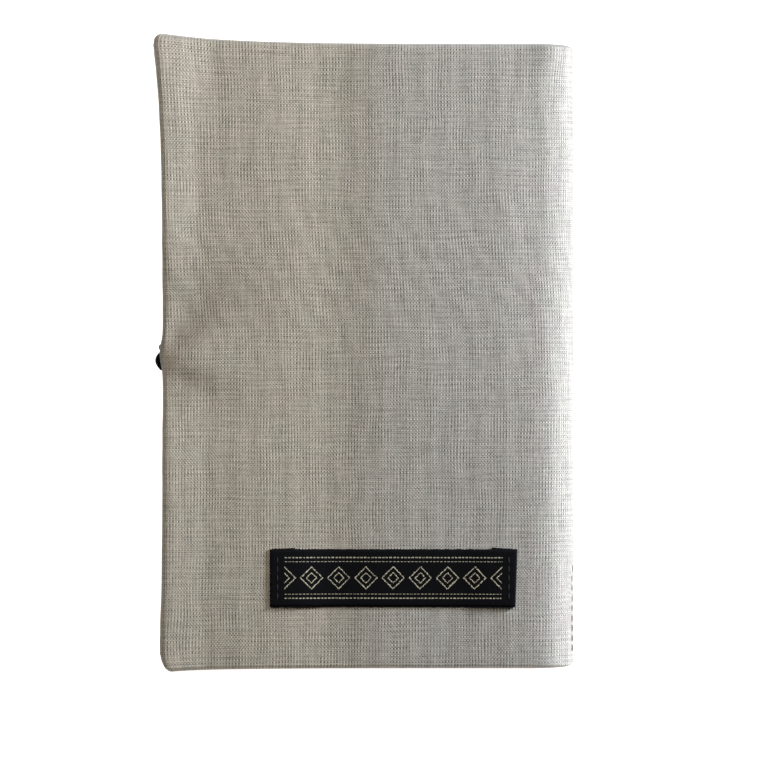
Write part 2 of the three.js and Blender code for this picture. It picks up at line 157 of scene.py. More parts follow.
def fade(distance, reach):
    """A tapering pull, 1 at distance 0 and about a third of what is left after each reach."""
    return math.exp(-distance / reach)


def corner_shape(run, y):
    """How the flared head corner and the rounded tail corner of the fore-edge move a point."""
    from_edge = max(run - fore_run, 0)
    from_head, from_tail = max(half_height - y, 0), max(half_height + y, 0)
    near = fade(from_edge, 12 * MM)
    out = (2.75 * fade(from_head, 14 * MM) + 1.1 * fade(from_tail, 15 * MM)) * near
    pulled_up = 2.6 * fade(from_edge, 16.7 * MM) - 0.32 * fade(from_edge, 2.5 * MM)
    up = pulled_up * fade(from_head, 12 * MM)
    down = 0.75 * fade(from_edge, 15 * MM) * fade(from_tail, 12 * MM)
    cut = 0
    tail_round, head_round = (6.2 * MM, 3.6, from_tail), (2.8 * MM, 2.8, from_head)
    for height, width, distance in (tail_round, head_round):
        if distance < height:
            cut += width * (1 - math.sqrt(1 - (1 - distance / height) ** 2))
    return (cut * fade(from_edge, 4 * MM) - out) * MM, (up - down) * MM


def edge_curl(run, y):
    """The back cover bows up towards its fore-edge, most of all near the head, but not at the loop."""
    head, tail = ease((y - 7 * MM) / (26 * MM)), 1 - ease((y + 26 * MM) / (18 * MM))
    longer = hill(y - 70 * MM, 16 * MM)
    uneven = 1.2 * MM * noise.noise(Vector((0, y * 70, 3)))
    head_bow = (10.3 * MM + 3.4 * MM * longer + uneven, (0.31 + 0.055 * longer) * head, 3 * MM)
    tail_bow = (12 * MM, 0.2 * tail, 4 * MM)
    whole_bow = (40 * MM, 0.035 * (head + tail), 3 * MM)
    lift = 0
    for bend, slope, flat in (head_bow, tail_bow, whole_bow):
        left = max(bend - math.hypot(max(run - fore_run, 0), flat), 0)
        lift += slope * left ** 2 / (left + 3 * MM)
    return lift


def on_book(side, run, y, depth):
    """A point of a cover. The run goes from the fore-edge, negative, to 0 where the round spine
    starts, and on round it. The depth goes in from the outer cloth. Side is 1 behind, -1 in front."""
    shift, rise = corner_shape(run, y)
    turn = max(run, 0) / spine_radius
    radius = spine_radius - depth + spine_swell * (1 - depth / panel) * math.sin(turn) ** 2
    lift = edge_curl(run, y) if side > 0 else 0
    return Vector((
        spine_x + min(run, 0) + shift + radius * math.sin(turn),
        book_y + y + rise,
        spine_radius + side * radius * math.cos(turn) + lift))


def cloth_place(across, along, inset):
    """Run, height and share of the edge rounding at a place on a cover's cloth. Distances on the
    cloth go across from the fore-edge seam and along from the tail seam."""
    from_tail = min(along, 2 * (edge_length - edge_width + half_height) - along)
    rounds = []
    ins = []
    for distance in (across, from_tail):
        rounding = math.cos(min(distance / edge_length, 1) * math.pi / 2)
        rounds.append(rounding)
        ins.append(edge_width * (1 - rounding) + max(distance - edge_length, 0) + inset * rounding)
    share = min((rounds[0] ** 3 + rounds[1] ** 3) ** (1 / 3), 1)
    y = ins[1] - half_height
    return fore_run + ins[0], y if along == from_tail else -y, 1 - math.sqrt(1 - share ** 2)


def linen_rest(run, y):
    """How far the linen sinks in: two creases and a ridge at the loop, a long shallow valley, softer
    and fuller places at the spine, and unevenness all over. A crease has its angle, start, depth,
    distance to where it is deepest, length, width and spread."""
    from_edge, from_loop = max(run - fore_run, 0), y - 0.2 * MM
    upper_crease = (54, 0, 1.7, 4 * MM, 15 * MM, 2.1 * MM, 0.2)
    lower_crease = (-22, -4 * MM, 0.38, 8 * MM, 6.5 * MM, 1.5 * MM, 0.16)
    most = 1.8 * MM
    sink = 0
    for angle, start, depth, deepest, length, width, spread in (upper_crease, lower_crease):
        off_start = from_loop - start
        ahead = from_edge * math.cos(math.radians(angle)) + off_start * math.sin(math.radians(angle))
        aside = off_start * math.cos(math.radians(angle)) - from_edge * math.sin(math.radians(angle))
        sink += depth * MM * hill(ahead - deepest, length) * hill(aside, width + spread * max(ahead, 0))
    sink = most * math.tanh(sink / most)
    out = from_edge / (8 * MM)
    ridge = hill(from_loop + 1 * MM + 0.1 * from_edge, 3 * MM + 0.3 * from_edge)
    sink -= 0.8 * MM * out * math.exp(1 - out) * ridge
    valley = hill(run + 50 * MM, 9 * MM)
    sink += 0.65 * MM * valley
    before_seam = 1 - ease(run / seam_turn)
    shoulder = ease((run + 9 * MM) / (11 * MM)) * before_seam
    worn = 0.1 + 0.25 * ease((y + 30 * MM) / (50 * MM)) + 0.6 * hill(y - 40 * MM, 30 * MM)
    sink += worn * MM * shoulder
    hump = ease((run + 32 * MM) / (33 * MM)) * before_seam
    sink -= 0.42 * MM * hump * (1 - ease((y + 35 * MM) / (45 * MM)))
    spine_corner = hill(run - 5 * MM, 5 * MM) * hill(max(half_height - y, 0), 6 * MM)
    sink -= 1.0 * MM * spine_corner
    spot = Vector((run * 28, y * 20, 0.4))
    uneven = 0.2 * MM * noise.noise(spot) + 0.08 * MM * noise.noise(spot * 2.7)
    return sink + uneven * ease(from_edge / (14 * MM)) * ease(-run / (8 * MM))


def outer_face(side, across, along, offset, trim=0):
    """The outer face of a cover, or a face under it, which rolls down to the edge seam."""
    run, y, down = cloth_place(across, along, offset + trim)
    depth = offset + (seam_depth - offset) * down
    if side < 0:
        reach = math.hypot(run - button_x, y) / tuft_reach
        depth += tuft_depth * (1 - reach ** 4) ** 2 * (1 - down) if reach < 1 else 0
    else:
        depth += linen_rest(run, y) * (1 - down)
    return on_book(side, run, y, depth)


def inner_face(side, across, along, offset, trim=0):
    """The lining's face of a cover, or a face above it, which rolls up to the edge seam."""
    run, y, down = cloth_place(across, along, offset + trim)
    return on_book(side, run, y, panel - offset - (panel - seam_depth - seam_gap - offset - trim) * down)


def stations(length, step, edges):
    """Distances across a cloth, closer together over a rounded edge at its start, or at both ends."""
    start = [edge_length * part / 8 for part in range(8)]
    last = length - edge_length if edges == 2 else length
    count = max(round((last - edge_length) / step), 1)
    middle = [edge_length + (last - edge_length) * part / count for part in range(count + 1)]
    return start + middle + ([length - place for place in reversed(start)] if edges == 2 else [])


cloth_height = 2 * (half_height + edge_length - edge_width)
flat_cloth = edge_length - edge_width - fore_run


def sewn_layer(name, across, along, outer, inner):
    """A closed layer of cloth or padding over a grid of distances. The two functions turn a place
    on the cloth into a point of each face."""
    layer = bmesh.new()
    cloth = layer.loops.layers.uv.new("cloth")
    bmesh.ops.create_grid(layer, x_segments=len(across) - 1, y_segments=len(along) - 1, size=0.5)
    made = bmesh.ops.extrude_face_region(layer, geom=layer.faces[:])
    inside = {part for part in made["geom"] if isinstance(part, bmesh.types.BMVert)}
    for vert in layer.verts:
        x = across[round((vert.co.x + 0.5) * (len(across) - 1))]
        y = along[round((vert.co.y + 0.5) * (len(along) - 1))]
        for loop in vert.link_loops:
            loop[cloth].uv = (x, y)
        vert.co = inner(x, y) if vert in inside else outer(x, y)
    bmesh.ops.recalc_face_normals(layer, faces=layer.faces)
    return add_object(name, layer, smooth=True)


class Tone:
    """A number or a colour on a surface, from a node's socket. Sums on it add Math nodes."""

    def __init__(self, tree, socket=None):
        self.tree, self.socket = tree, socket

    def node(self, kind, settings=None, sockets=None, out=0):
        """Adds a node, and gives one of its outputs."""
        made = self.tree.nodes.new("ShaderNode" + kind)
        for name, value in (settings or {}).items():
            setattr(made, name, value)
        for name, value in (sockets or {}).items():
            if isinstance(value, Tone):
                self.tree.links.new(value.socket, made.inputs[name])
            else:
                made.inputs[name].default_value = value
        return Tone(self.tree, made.outputs[out])

    def sum(self, operation, *values):
        return self.node("Math", {"operation": operation}, dict(enumerate(values)))

    def __add__(self, other):
        return self.sum("ADD", self, other)

    __radd__ = __add__

    def __sub__(self, other):
        return self.sum("SUBTRACT", self, other)

    def __rsub__(self, other):
        return self.sum("SUBTRACT", other, self)

    def __mul__(self, other):
        return self.sum("MULTIPLY", self, other)

    __rmul__ = __mul__

    def __abs__(self):
        return self.sum("ABSOLUTE", self)

    def clamped(self):
        return self.node("Clamp", {}, {"Value": self})

    def mixed(self, start, end):
        """Colour that goes from start to end as this number goes from 0 to 1."""
        return self.node("Mix", {"data_type": "RGBA"}, {0: self, 6: start, 7: end}, 2)


def new_finish(name, roughness, sheen=0.0):
    """A material with its shader, and the start of its sums."""
    material = bpy.data.materials.new(name)
    material.use_nodes = True
    shader = material.node_tree.nodes["Principled BSDF"]
    shader.inputs["Roughness"].default_value = roughness
    shader.inputs["Specular IOR Level"].default_value = 0.25
    shader.inputs["Sheen Weight"].default_value = sheen
    return material, shader, Tone(material.node_tree)


def dress(shader, colour, height, depth):
    """Joins a colour and a relief of that depth to a shader."""
    relief = height.node("Bump", {}, {"Strength": 1.0, "Distance": depth, "Height": height})
    height.tree.links.new(colour.socket, shader.inputs["Base Color"])
    height.tree.links.new(relief.socket, shader.inputs["Normal"])


fleece_white, shader, tone = new_finish("fleece_white", roughness=1.0, sheen=0.3)
place = tone.node("TexCoord", out=3)
fluff = tone.node("TexNoise", {}, {"Vector": place, "Scale": 900, "Detail": 4, "Roughness": 0.7})
dress(shader, fluff.mixed((0.62, 0.6, 0.55, 1), (0.9, 0.88, 0.84, 1)), fluff, 0.6 * MM)

fleece_step = 1.8 * MM
fleece_trim = 0.6 * MM
fleece_gap = 0.2 * MM
short_of_spine = 3 * MM
for cover, side in (("back", 1), ("front", -1)):
    pad = sewn_layer(
        f"{cover}_padding",
        stations(flat_cloth - short_of_spine, fleece_step, 1), stations(cloth_height, fleece_step, 2),
        lambda x, y: outer_face(side, x, y, fleece_depth, fleece_trim),
        lambda x, y: inner_face(side, x, y, lining_cloth + fleece_gap, fleece_trim))
    pad.data.materials.append(fleece_white)
    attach(pad, f"{cover}_cover")
    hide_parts(f"{cover}_fleece")
strip_inset = 1.3 * MM
spine_pad = sewn_layer(
    "spine_padding",
    [seam_turn * (0.72 + 0.56 * part / 8) for part in range(9)], stations(cloth_height, 12 * MM, 2),
    lambda x, y: on_book(1, x, cloth_place(1, y, strip_inset)[1], fleece_depth),
    lambda x, y: on_book(1, x, cloth_place(1, y, strip_inset)[1], panel - lining_cloth - fleece_gap))
spine_pad.data.materials.append(fleece_white)
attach(spine_pad, "spine")
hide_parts("spine_fleece")


# Back cover cloth: natural plain-weave linen, turned over the edges to the seam and carried on
# over the spine to its middle, where it meets the front cloth. The elastic loop, caught in the
# fore-edge seam, pulls a dent with creases into it.
def linen_face(across, along, offset):
    """The linen's outer or inner face. Its fore-edge wanders a little and bulges over the loop."""
    run, y, _ = cloth_place(across, along, offset)
    rim = fade(run - fore_run, 2 * MM)
    wander = 0.16 * MM * noise.noise(Vector((y * 130, 5, 0))) * rim
    bulge = 0.85 * MM * hill(y - 0.9 * MM, 3.6 * MM) * rim
    return outer_face(1, across, along, offset) + Vector((wander - bulge, 0, 0))


cloth_step = 1.3 * MM
cloth_slit = 0.15 * MM
linen = sewn_layer(
    "linen_cover",
    stations(flat_cloth + seam_turn - cloth_slit, cloth_step, 1), stations(cloth_height, cloth_step, 2),
    lambda x, y: linen_face(x, y, 0), lambda x, y: linen_face(x, y, outer_cloth))


def cloth_map(tone):
    """Distances across and along a piece, from its own map."""
    place = tone.node("UVMap", {"uv_map": "cloth"})
    return tuple(tone.node("SeparateXYZ", {}, {"Vector": place}, axis) for axis in (0, 1))


def streaks(u, v, across, along, detail):
    """Long soft streaks, as slubs make in a thread: so many to the metre each way."""
    place = u.node("CombineXYZ", {}, {"X": u * across, "Y": v * along})
    return u.node("TexNoise", {"noise_dimensions": "2D"}, {"Vector": place, "Scale": 1.0, "Detail": detail})


def patches(u, v, seed):
    """Patches of some millimetres, from 0 to 1."""
    return (streaks(u + seed, v, 190, 170, 1) * 2.1 - 0.45).clamped()


def waves(count):
    """Even waves from -1 to 1, for a count of them."""
    return count.sum("COSINE", count * (2 * math.pi))


def ramp(value, start, width):
    """0 before the start, and 1 from a width after it."""
    return ((value - start) * (1 / width)).clamped()


def soft_ramp(value, start, end):
    """Goes smoothly from 0 to 1 as a value goes from start to end."""
    return value.node("MapRange", {"interpolation_type": "SMOOTHSTEP"}, {
        "Value": value, "From Min": start, "From Max": end})


def tinted(colour, tint):
    """A colour times a tint."""
    multiply = {"data_type": "RGBA", "blend_type": "MULTIPLY"}
    return colour.node("Mix", multiply, {0: 1.0, 6: colour, 7: tint}, 2)


# The threads wander and crowd together in patches, so that upright, level and slanting lines of the
# weave come and go, and some are thicker along a slub.
linen_weave, shader, tone = new_finish("linen_weave", roughness=0.9, sheen=0.15)
u, v = cloth_map(tone)
end_pitch, pick_pitch = 0.757 * MM, 0.88 * MM
pull = 1 - soft_ramp(v, 78 * MM, 124 * MM)
drift, drift_up = streaks(u, v, 130, 80, 1) * 0.9, streaks(u + 0.7, v, 90, 120, 1) * 1.1
ends = (u - pull * (1.8 * MM)) * (1 / end_pitch) + drift
picks = v * (1 / pick_pitch) + drift_up
weave_relief = waves(ends) * patches(u, v, 0.1) * 0.5 + waves(ends + picks) * patches(u, v, 0.2) * 0.34
weave_relief = weave_relief + waves(ends - picks) * patches(u, v, 0.3) * 0.34
weave_relief = weave_relief + waves(v * (1 / (0.53 * MM)) + drift) * patches(u, v, 0.4) * 0.26
weave_relief = weave_relief + waves(v * (1 / (1.31 * MM)) + drift_up) * patches(u, v, 0.5) * 0.13
weave_relief = weave_relief * (streaks(u, v, 1300, 1000, 1) * 2.4 - 0.2)
reed_marks = waves((u - pull * (20 * MM)) * (1 / (6 * MM)) + drift)
slubs = streaks(u, v, 1100, 90, 1) * 0.18 + streaks(u, v, 80, 1250, 1) * 0.18
slubs = slubs + streaks(u, v, 1500, 1400, 1) * 0.22 + streaks(u + 0.3, v, 620, 480, 1) * 0.14
# Painted shade and highlight: the colour is darker in the gaps of the weave and lighter on the threads'
# tops, following the relief, with the slubs' own lighter and darker yarn.
weave_shade_and_yarn = (weave_relief * 0.5 + reed_marks * 0.035 + slubs + 0.07).clamped()

# Painted light on the cloth: it turns cooler and greyer towards the spine as painted cool light, with
# painted shade along the fore-edge, along the head and at the head of the spine, painted light along the
# tail seam, and a painted highlight over the spine towards the tail. The hue patches are the yarn's own
# uneven tone.
untinted = (1, 1, 1, 1)
hue = streaks(u + 0.5, v, 120, 110, 1).mixed((1.03, 0.98, 1.005, 1), (0.98, 1.005, 0.985, 1))
# Painted cool light: the cloth turns bluer towards the spine, where the cool light falls.
painted_cool_light = soft_ramp(u, 36 * MM, 74 * MM).mixed(untinted, (0.99, 1.04, 1.15, 1))
# Painted shade along the fore-edge, where the cloth rolls over to the seam.
painted_edge_shade = ramp(u, 1.9 * MM, 0.9 * MM).mixed((0.6, 0.645, 0.705, 1), untinted)
from_head = cloth_height - v
# Painted shade along the head edge, where the cloth rolls over.
painted_head_shade = ramp(from_head, 2.2 * MM, 1.1 * MM).mixed((0.64, 0.66, 0.69, 1), untinted)
# Painted shade at the head of the spine.
spine_head = (1 - ramp(from_head, 0, 5 * MM)) * ramp(u, 92 * MM, 5 * MM)
painted_spine_head_shade = spine_head.mixed(untinted, (0.66, 0.67, 0.68, 1))
# Painted light along the rolled edge at the tail seam.
painted_tail_light = ramp(abs(v - 2.3 * MM), 0, 1.6 * MM).mixed((1.75, 1.75, 1.75, 1), untinted)
# Painted highlight over the spine towards the tail, where the raking light falls.
spine_tail = ramp(u, 98 * MM, 6 * MM) * (1 - soft_ramp(v, 70 * MM, 105 * MM))
painted_spine_highlight = spine_tail.mixed(untinted, (1.1, 1.1, 1.1, 1))
colour = weave_shade_and_yarn.mixed((0.09, 0.083, 0.069, 1), (0.58, 0.532, 0.448, 1))
for tint in (hue, painted_cool_light, painted_edge_shade, painted_head_shade, painted_spine_head_shade, painted_tail_light, painted_spine_highlight):
    colour = tinted(colour, tint)
dress(shader, colour, weave_relief + slubs, 0.02 * MM)
linen.data.materials.append(linen_weave)

upper_fold = Vector(joint_at["back_cover_fold"])
fold_give = 3.3 * MM
fold_reach = Vector((fold_give, 0, -fold_give)) / math.sqrt(2)
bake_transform(linen)
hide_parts("back_linen", "spine_linen")


# Front cover cloth: printed cotton, orange with a small pale dot, turned over the edges in the same
# way. The button is sewn through it and draws a soft hollow into the padding.
def cotton_face(across, along, offset):
    """The cotton's outer or inner face, with puckers round the button's hollow."""
    run, y, down = cloth_place(across, along, offset)
    angle = math.atan2(y, run - button_x)
    reach = math.hypot(run - button_x, y)
    pucker = 0.25 * MM * math.sin(7 * angle + 1) * hill(reach - 15 * MM, 5 * MM) * (1 - down)
    return outer_face(-1, across, along, offset) + Vector((0, 0, max(pucker, 0)))


cotton = sewn_layer(
    "cotton_cover",
    stations(flat_cloth + seam_turn - cloth_slit, cloth_step, 1), stations(cloth_height, cloth_step, 2),
    lambda x, y: cotton_face(x, y, 0), lambda x, y: cotton_face(x, y, outer_cloth))


def weave(tone, warp_pitch, weft_pitch, wander):
    """Plain weave on a cloth's own map: how far each place is on a warp thread, on a weft thread,
    and which of the two is on top. Threads wander by a share of their pitch."""
    place = tone.node("UVMap", {"uv_map": "cloth"})
    flat = {"noise_dimensions": "2D"}
    drift = tone.node("TexNoise", flat, {"Vector": place, "Scale": 90, "Detail": 1})
    drift_up = tone.node("TexNoise", flat, {"Vector": place, "Scale": 75, "Detail": 1})
    u, v = cloth_map(tone)
    warp = (u * (1 / warp_pitch) + (drift - 0.5) * wander) * math.pi
    weft = (v * (1 / weft_pitch) + (drift_up - 0.5) * wander) * math.pi
    warp_side, weft_side = warp.sum("SINE", warp), weft.sum("SINE", weft)
    on_top = (warp_side * weft_side * 4 + 0.5).clamped()
    return u, v, abs(warp_side), abs(weft_side), on_top


cotton_print, shader, tone = new_finish("cotton_print", roughness=0.85, sheen=0.1)
cotton_pitch = 0.42 * MM
u, v, warp, weft, on_top = weave(tone, cotton_pitch, cotton_pitch, 0.5)
dot_step = 5.5 * MM
dot_u, dot_v = u * (math.pi / dot_step), v * (math.pi / dot_step)
lattice = abs(dot_u.sum("SINE", dot_u + dot_v)) * abs(dot_u.sum("SINE", dot_u - dot_v))
dots = ((lattice - 0.86) * 18).clamped()
washed = streaks(u, v, 300, 300, 2)
ground = washed.mixed((0.5, 0.13, 0.02, 1), (0.66, 0.2, 0.04, 1))
thread_shade = (on_top * warp + (1 - on_top) * weft) * 0.3 + 0.72
grey = tone.node("CombineColor", {}, {0: thread_shade, 1: thread_shade, 2: thread_shade})
dress(shader, tinted(dots.mixed(ground, (0.8, 0.74, 0.62, 1)), grey), thread_shade, 0.12 * MM)
cotton.data.materials.append(cotton_print)
lower_fold = Vector(joint_at["spine_fold"])
fold_reach_front = Vector((fold_give, 0, fold_give)) / math.sqrt(2)
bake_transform(cotton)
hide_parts("front_cotton", "spine_cotton")

# Lining: plain unbleached cotton inside both covers and over the inside of the spine, sewn to the
# outer cloth all round. It is made in two halves that meet under the felt.
lining_cream, shader, tone = new_finish("lining_cream", roughness=0.9, sheen=0.1)
lining_pitch = 0.45 * MM
u, v, warp, weft, on_top = weave(tone, lining_pitch, lining_pitch, 0.6)
yarn = on_top * streaks(u, v, 2100, 60, 1) + (1 - on_top) * streaks(u, v, 60, 2100, 1)
relief = on_top * warp + (1 - on_top) * weft
shade = (yarn * 0.7 + relief * 0.4).clamped()
dress(shader, shade.mixed((0.27, 0.235, 0.185, 1), (0.45, 0.405, 0.33, 1)), relief, 0.1 * MM)
for cover, side, fold, reach in (
        ("back", 1, upper_fold, fold_reach), ("front", -1, lower_fold, fold_reach_front)):
    lining = sewn_layer(
        f"{cover}_cover_lining",
        stations(flat_cloth + seam_turn - 0.05 * MM, 2 * MM, 1), stations(cloth_height, 3 * MM, 2),
        lambda x, y: inner_face(side, x, y, lining_cloth), lambda x, y: inner_face(side, x, y, 0))
    lining.data.materials.append(lining_cream)
    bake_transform(lining)
    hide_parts(f"{cover}_lining", *(["spine_lining"] if side > 0 else []))


# Slip pockets: a patch of the lining cotton on each cover, turned in and sewn down along three
# sides, with a hem turned over and sewn along its mouth.
def stitch(row, start, end, out, width, proud):
    """One sewn stitch, a thread that dips into the cloth at both ends."""
    run = end - start
    turn = Matrix((run.normalized(), run.cross(out).normalized(), out)).transposed().to_4x4()
    size = Matrix.Diagonal((run.length / 2, width / 2, proud, 1))
    place = Matrix.Translation((start + end) / 2) @ turn @ size
    bmesh.ops.create_uvsphere(row, u_segments=8, v_segments=5, radius=1, matrix=place)


def thread_finish(name, dark, light):
    """Twisted sewing thread."""
    material, shader, tone = new_finish(name, roughness=0.7, sheen=0.2)
    place = tone.node("TexCoord", out=3)
    twist = tone.node("TexNoise", {}, {"Vector": place, "Scale": 3500, "Detail": 2})
    dress(shader, twist.mixed(dark, light), twist, 0.05 * MM)
    return material


cream_thread = thread_finish("cream_thread", (0.4, 0.36, 0.3, 1), (0.6, 0.56, 0.48, 1))
pocket_cloth = 0.5 * MM
corner = 3 * MM
stitch_pitch, sewn_in = 2.5 * MM, 1.6 * MM


def rows(length, step):
    """Even distances along a cloth, about a step apart."""
    count = round(length / step)
    return [length * part / count for part in range(count + 1)]


for cover, side in (("back", 1), ("front", -1)):
    low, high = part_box(f"{cover}_pocket")
    hem_low, hem_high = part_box(f"{cover}_pocket_hem")
    pocket_face, hem_face = (low.z, hem_low.z) if side > 0 else (high.z, hem_high.z)
    width, height, hem_height = high.x - low.x, high.y - low.y, hem_high.y - hem_low.y

    def bow(x, y):
        """The curl of the back cover, which its pocket follows."""
        return edge_curl(x - spine_x, y - book_y) if side > 0 else 0

    def pocket_point(x, y, offset):
        """The patch lies on the lining, puffed a little, with its lower corners rounded."""
        near = min(x, width - x)
        if y < corner and near < corner:
            cut = corner - math.sqrt(max(corner ** 2 - (corner - y) ** 2, 0))
            x += cut * (1 - near / corner) * (1 if x < width / 2 else -1)
        below_mouth = 1 - ease((y - height + 12 * MM) / (8 * MM))
        puff = 0.12 * MM * ease(near / (6 * MM)) * ease(y / (6 * MM)) * below_mouth
        level = pocket_face + side * (offset - puff)
        return Vector((low.x + x, low.y + y, level + bow(low.x + x, low.y + y)))

    def hem_point(x, y, level, roll):
        """The hem lies over the pocket's mouth."""
        return Vector((low.x + x, hem_low.y + y, level + bow(low.x + x, hem_low.y + y) + roll))

    def hem_roll(y):
        """How much thinner the hem is towards its two edges."""
        return side * 0.1 * MM * (1 - math.sin(math.pi * y / hem_height) ** 0.3)

    pocket = sewn_layer(
        f"{cover}_slip_pocket", rows(width, 1.5 * MM), rows(height, 1.5 * MM),
        lambda x, y: pocket_point(x, y, 0), lambda x, y: pocket_point(x, y, pocket_cloth))
    hem = sewn_layer(
        f"{cover}_slip_pocket_hem", rows(width, 2 * MM), rows(hem_height, 1 * MM),
        lambda x, y: hem_point(x, y, hem_face, hem_roll(y)),
        lambda x, y: hem_point(x, y, pocket_face - side * 0.02 * MM, 0))
    row = bmesh.new()
    across = [(low.x + corner + stitch_pitch * step, low.y + sewn_in, 1, 0)
              for step in range(int((width - 2 * corner) / stitch_pitch))]
    upright = [(x, low.y + corner + stitch_pitch * step, 0, 1)
               for x in (low.x + sewn_in, high.x - sewn_in)
               for step in range(int((height - corner) / stitch_pitch))]
    mouth = [(low.x + 0.5 * MM + stitch_pitch * step, hem_low.y + 1.2 * MM, 1, 0)
             for step in range(int(width / stitch_pitch))]
    for x, y, along_x, along_y in across + upright + mouth:
        on_hem = y > hem_low.y - 0.5 * MM
        level = (hem_face if on_hem else pocket_face) + bow(x, y)
        start = Vector((x + 0.15 * stitch_pitch * along_x, y + 0.15 * stitch_pitch * along_y, level))
        end = start + 0.75 * stitch_pitch * Vector((along_x, along_y, 0))
        stitch(row, start, end, Vector((0, 0, -side)), width=0.35 * MM, proud=0.14 * MM)
    stitches = add_object(f"{cover}_slip_pocket_stitches", row)
    for piece, node in ((pocket, f"{cover}_pocket"), (hem, f"{cover}_pocket_hem"), (stitches, None)):
        piece.data.materials.append(cream_thread if node is None else lining_cream)
        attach(piece, f"{cover}_cover")
        if node is not None:
            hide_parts(node)

# Felt leaves: two sheets of natural grey-brown wool felt with lighter hairs, folded one inside the
# other and sewn to the spine through their folds. Each leaf is one half of a sheet, up to the
# middle of its fold.
felt_wool, shader, tone = new_finish("felt_wool", roughness=1.0, sheen=0.5)
place = tone.node("TexCoord", out=3)


def wool_hairs(turn, start):
    """Tangled hairs that lie mostly one way, lighter than the rest of the wool."""
    laid = tone.node("Mapping", {}, {
        "Vector": place, "Location": (start, 0, 0), "Rotation": (0, 0, turn), "Scale": (560, 1500, 900)})
    return tone.node("TexNoise", {}, {"Vector": laid, "Scale": 1.0, "Detail": 2, "Distortion": 1.2})


mat = tone.node("TexNoise", {}, {"Vector": place, "Scale": 420, "Detail": 3, "Distortion": 1.5})
clouds = tone.node("TexNoise", {}, {"Vector": place, "Scale": 70, "Detail": 2})
hairs = 0
for turn, start in ((0.3, 0), (1.35, 3), (2.45, 7)):
    hairs = hairs + ((wool_hairs(turn, start) - 0.53) * 5).clamped()
fibre = hairs * 0.2 + mat * 0.55 + clouds * 0.35 - 0.24
dress(shader, fibre.clamped().mixed((0.11, 0.092, 0.072, 1), (0.36, 0.316, 0.258, 1)), fibre, 0.14 * MM)
felt = 1.1 * MM
felt_face = felt / 2 - 0.02 * MM
fold_low, fold_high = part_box("felt_fold_outer")
fold_x = fold_low.x
fold_z = (fold_low.z + fold_high.z) / 2
for leaf in (1, 2, 3, 4):
    hinge = Vector(joint_at[f"leaf_{leaf}_turn"])
    low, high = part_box(f"felt_leaf_{leaf}")
    side = 1 if hinge.z > fold_z else -1
    fold_radius = abs(hinge.z - fold_z)
    quarter = math.pi / 2 * fold_radius
    length = quarter + fold_x - low.x

    def leaf_point(x, y, offset):
        """From the middle of the fold, round it, and out along the leaf."""
        if x < quarter:
            turn = x / fold_radius
            out = fold_radius + offset
            return Vector((fold_x + out * math.cos(turn), low.y + y, fold_z + side * out * math.sin(turn)))
        off_fold, near_edge = ease((x - quarter) / (12 * MM)), ease((x - length + 8 * MM) / (8 * MM))
        wave = 0.12 * MM * noise.noise(Vector((x * 45, y * 40, leaf * 7))) * off_fold
        trim = 0.25 * MM * noise.noise(Vector((y * 60, leaf * 3, 1))) * near_edge
        return Vector((fold_x - (x - quarter) + trim, low.y + y, hinge.z + side * offset + wave))

    columns = [quarter * part / 8 for part in range(8)] + [
        quarter + (length - quarter) * part / 56 for part in range(57)]
    sheet = sewn_layer(
        f"felt_sheet_{leaf}", columns, [(high.y - low.y) * part / 70 for part in range(71)],
        lambda x, y: leaf_point(x, y, felt_face), lambda x, y: leaf_point(x, y, -felt_face))
    sheet.data.materials.append(felt_wool)
    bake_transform(sheet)
    fold = {1: ["felt_fold_outer"], 2: ["felt_fold_inner"]}.get(leaf, [])
    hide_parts(f"felt_leaf_{leaf}", *fold)

# Binding: one row of machine stitches through the felt and the spine, in dark grey thread. It is
# not quite straight, and shows on the linen side of the spine only towards the tail, where the
# stitches are looser.
dark_thread = thread_finish("dark_thread", (0.02, 0.02, 0.022, 1), (0.09, 0.09, 0.095, 1))
half = Vector((0, 0.39 * stitch_pitch, 0))
low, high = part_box("binding_stitches_outside")
row = bmesh.new()
for step in range(int((high.y - low.y) / stitch_pitch)):
    y = low.y + stitch_pitch * (step + 0.1)
    crossing = ease((y + 55.2 * MM) / (4.5 * MM))
    rise = 3.1 * MM - 5.3 * MM * crossing + 0.1 * MM * noise.noise(Vector((y * 200, 0, 0)))
    loose = 1 - ease((y + 72 * MM) / (16 * MM))
    out = Vector((math.sqrt(spine_radius ** 2 - rise ** 2), 0, rise)) / spine_radius
    reach = spine_radius + spine_swell * out.x ** 2 + 0.02 * MM
    middle = Vector((spine_x, y, spine_radius)) + out * reach
    stitch(row, middle - half, middle + half, out,
           width=(0.4 + 0.15 * loose) * MM, proud=(0.15 + 0.1 * loose) * MM)
outside = add_object("spine_stitches", row)
low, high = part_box("binding_stitches_gutter")
row = bmesh.new()
for step in range(int((high.y - low.y) / stitch_pitch)):
    middle = Vector((low.x + 0.05 * MM, low.y + stitch_pitch * (step + 0.5), fold_z))
    stitch(row, middle - half, middle + half, Vector((-1, 0, 0)), width=0.5 * MM, proud=0.28 * MM)
gutter = add_object("gutter_stitches", row)
for piece, node in ((outside, "binding_stitches_outside"), (gutter, "binding_stitches_gutter")):
    piece.data.materials.append(dark_thread)
    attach(piece, "spine")
    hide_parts(node)

# Label: a black satin ribbon with a woven border of small diamonds in pale gold thread. Both ends
# are turned under, not quite square, and sewn to the cover.
low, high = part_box("woven_label")
label_width, label_height = high.x - low.x, high.y - low.y
ribbon = 0.3 * MM
flap = 6 * MM
turn_radius = 0.3 * MM
bend = math.pi * turn_radius
half_face = flap + bend + label_width / 2


